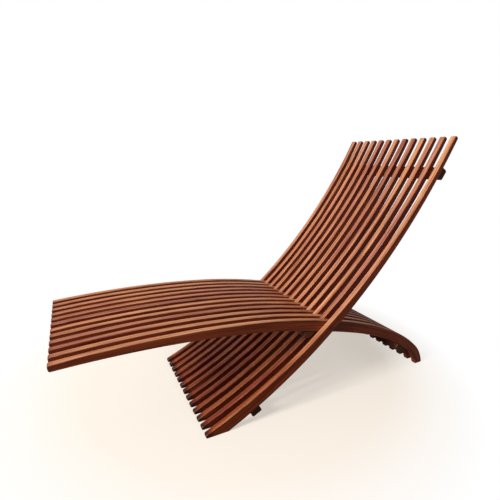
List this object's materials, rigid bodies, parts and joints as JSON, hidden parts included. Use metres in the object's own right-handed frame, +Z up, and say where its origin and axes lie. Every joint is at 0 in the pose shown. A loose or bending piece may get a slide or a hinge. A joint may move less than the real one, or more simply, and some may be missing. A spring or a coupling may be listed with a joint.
{
  "type": "folding deck chair",
  "caption": "Folding garden lounger whose curved hardwood back and seat slats interleave like combs and turn on a concealed rod, so that it folds flat.",
  "frame": {"origin": "on the floor, under the middle of the open chair's bounding box", "axes": "+X to the sitter's left, -Y towards the sitter's feet, +Y towards the backrest's tips and the rear feet, +Z up"},
  "size_m": [0.5986, 1.5982, 1.0518],
  "materials": {
    "slat_timber": "oiled reddish-brown tropical hardwood, satin, tone differs a little from slat to slat",
    "batten_timber": "the same oiled hardwood as the slats",
    "plug_timber": "face-grain plug, sanded flush and oiled",
    "pivot_steel": "plain stainless rod and nuts",
    "washer_nylon": "thin black nylon washers"
  },
  "bodies": {
    "back_panel": {"back_slat_01": "slat_timber", "back_slat_02": "slat_timber", "back_slat_03": "slat_timber", "back_slat_04": "slat_timber", "back_slat_05": "slat_timber", "back_slat_06": "slat_timber", "back_slat_07": "slat_timber", "back_slat_08": "slat_timber", "back_slat_09": "slat_timber", "back_slat_10": "slat_timber", "back_slat_11": "slat_timber", "back_slat_12": "slat_timber", "back_slat_13": "slat_timber", "back_top_batten": "batten_timber", "back_bottom_batten": "batten_timber", "pivot_rod": "pivot_steel", "pivot_nut_left": "pivot_steel", "pivot_nut_right": "pivot_steel", "pivot_plug_left": "plug_timber", "pivot_plug_right": "plug_timber", "pivot_washer_01": "washer_nylon", "pivot_washer_02": "washer_nylon", "pivot_washer_03": "washer_nylon", "pivot_washer_04": "washer_nylon", "pivot_washer_05": "washer_nylon", "pivot_washer_06": "washer_nylon", "pivot_washer_07": "washer_nylon", "pivot_washer_08": "washer_nylon", "pivot_washer_09": "washer_nylon", "pivot_washer_10": "washer_nylon", "pivot_washer_11": "washer_nylon", "pivot_washer_12": "washer_nylon", "pivot_washer_13": "washer_nylon", "pivot_washer_14": "washer_nylon", "pivot_washer_15": "washer_nylon", "pivot_washer_16": "washer_nylon", "pivot_washer_17": "washer_nylon", "pivot_washer_18": "washer_nylon", "pivot_washer_19": "washer_nylon", "pivot_washer_20": "washer_nylon", "pivot_washer_21": "washer_nylon", "pivot_washer_22": "washer_nylon", "pivot_washer_23": "washer_nylon", "pivot_washer_24": "washer_nylon"},
    "seat_panel": {"seat_slat_01": "slat_timber", "seat_slat_02": "slat_timber", "seat_slat_03": "slat_timber", "seat_slat_04": "slat_timber", "seat_slat_05": "slat_timber", "seat_slat_06": "slat_timber", "seat_slat_07": "slat_timber", "seat_slat_08": "slat_timber", "seat_slat_09": "slat_timber", "seat_slat_10": "slat_timber", "seat_slat_11": "slat_timber", "seat_slat_12": "slat_timber", "seat_toe_batten": "batten_timber", "seat_stop_batten": "batten_timber", "seat_rear_batten": "batten_timber"}
  },
  "joints": [
    {"name": "fold", "type": "hinge", "parent": "back_panel", "child": "seat_panel", "pos_m": [0, 0.19329, 0.33115], "axis": [-1, 0, 0], "range_deg": [0, 113.8]}
  ]
}
